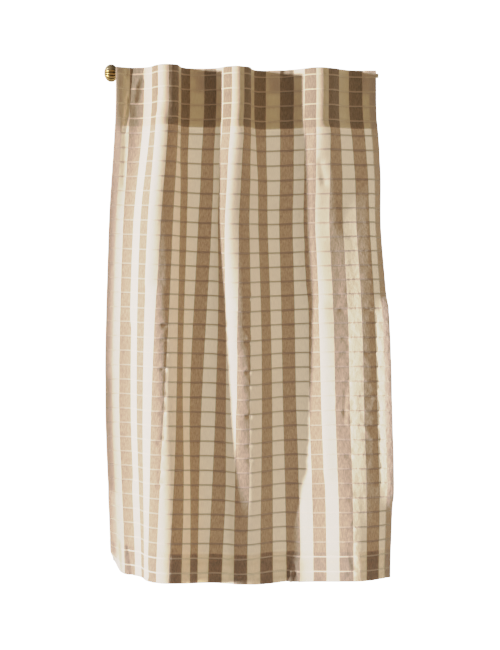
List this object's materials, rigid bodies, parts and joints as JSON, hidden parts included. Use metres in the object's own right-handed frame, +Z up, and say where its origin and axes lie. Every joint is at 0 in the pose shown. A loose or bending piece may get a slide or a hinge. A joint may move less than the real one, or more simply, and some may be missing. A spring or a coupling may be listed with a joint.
{
  "type": "cafe curtain on a rod",
  "caption": "Striped cafe curtain hanging in uneven soft folds from a slim rod with a fluted ball finial.",
  "frame": {"origin": "on the rod's axis at mid-length between the finial's tip and the rod's plain end", "axes": "+X along the rod away from the finial, +Z up, the face of the cloth towards -Y"},
  "size_m": [0.5092, 0.1233, 0.9219],
  "materials": {
    "striped linen": "woven",
    "linen tape": "woven",
    "aged brass": "satin",
    "gilt brass": "polished"
  },
  "bodies": {
    "root": {"curtain_panel": "striped linen", "hanging_loop_1": "linen tape", "hanging_loop_2": "linen tape", "hanging_loop_3": "linen tape", "hanging_loop_4": "linen tape", "rod": "aged brass", "finial": "gilt brass"}
  },
  "joints": []
}
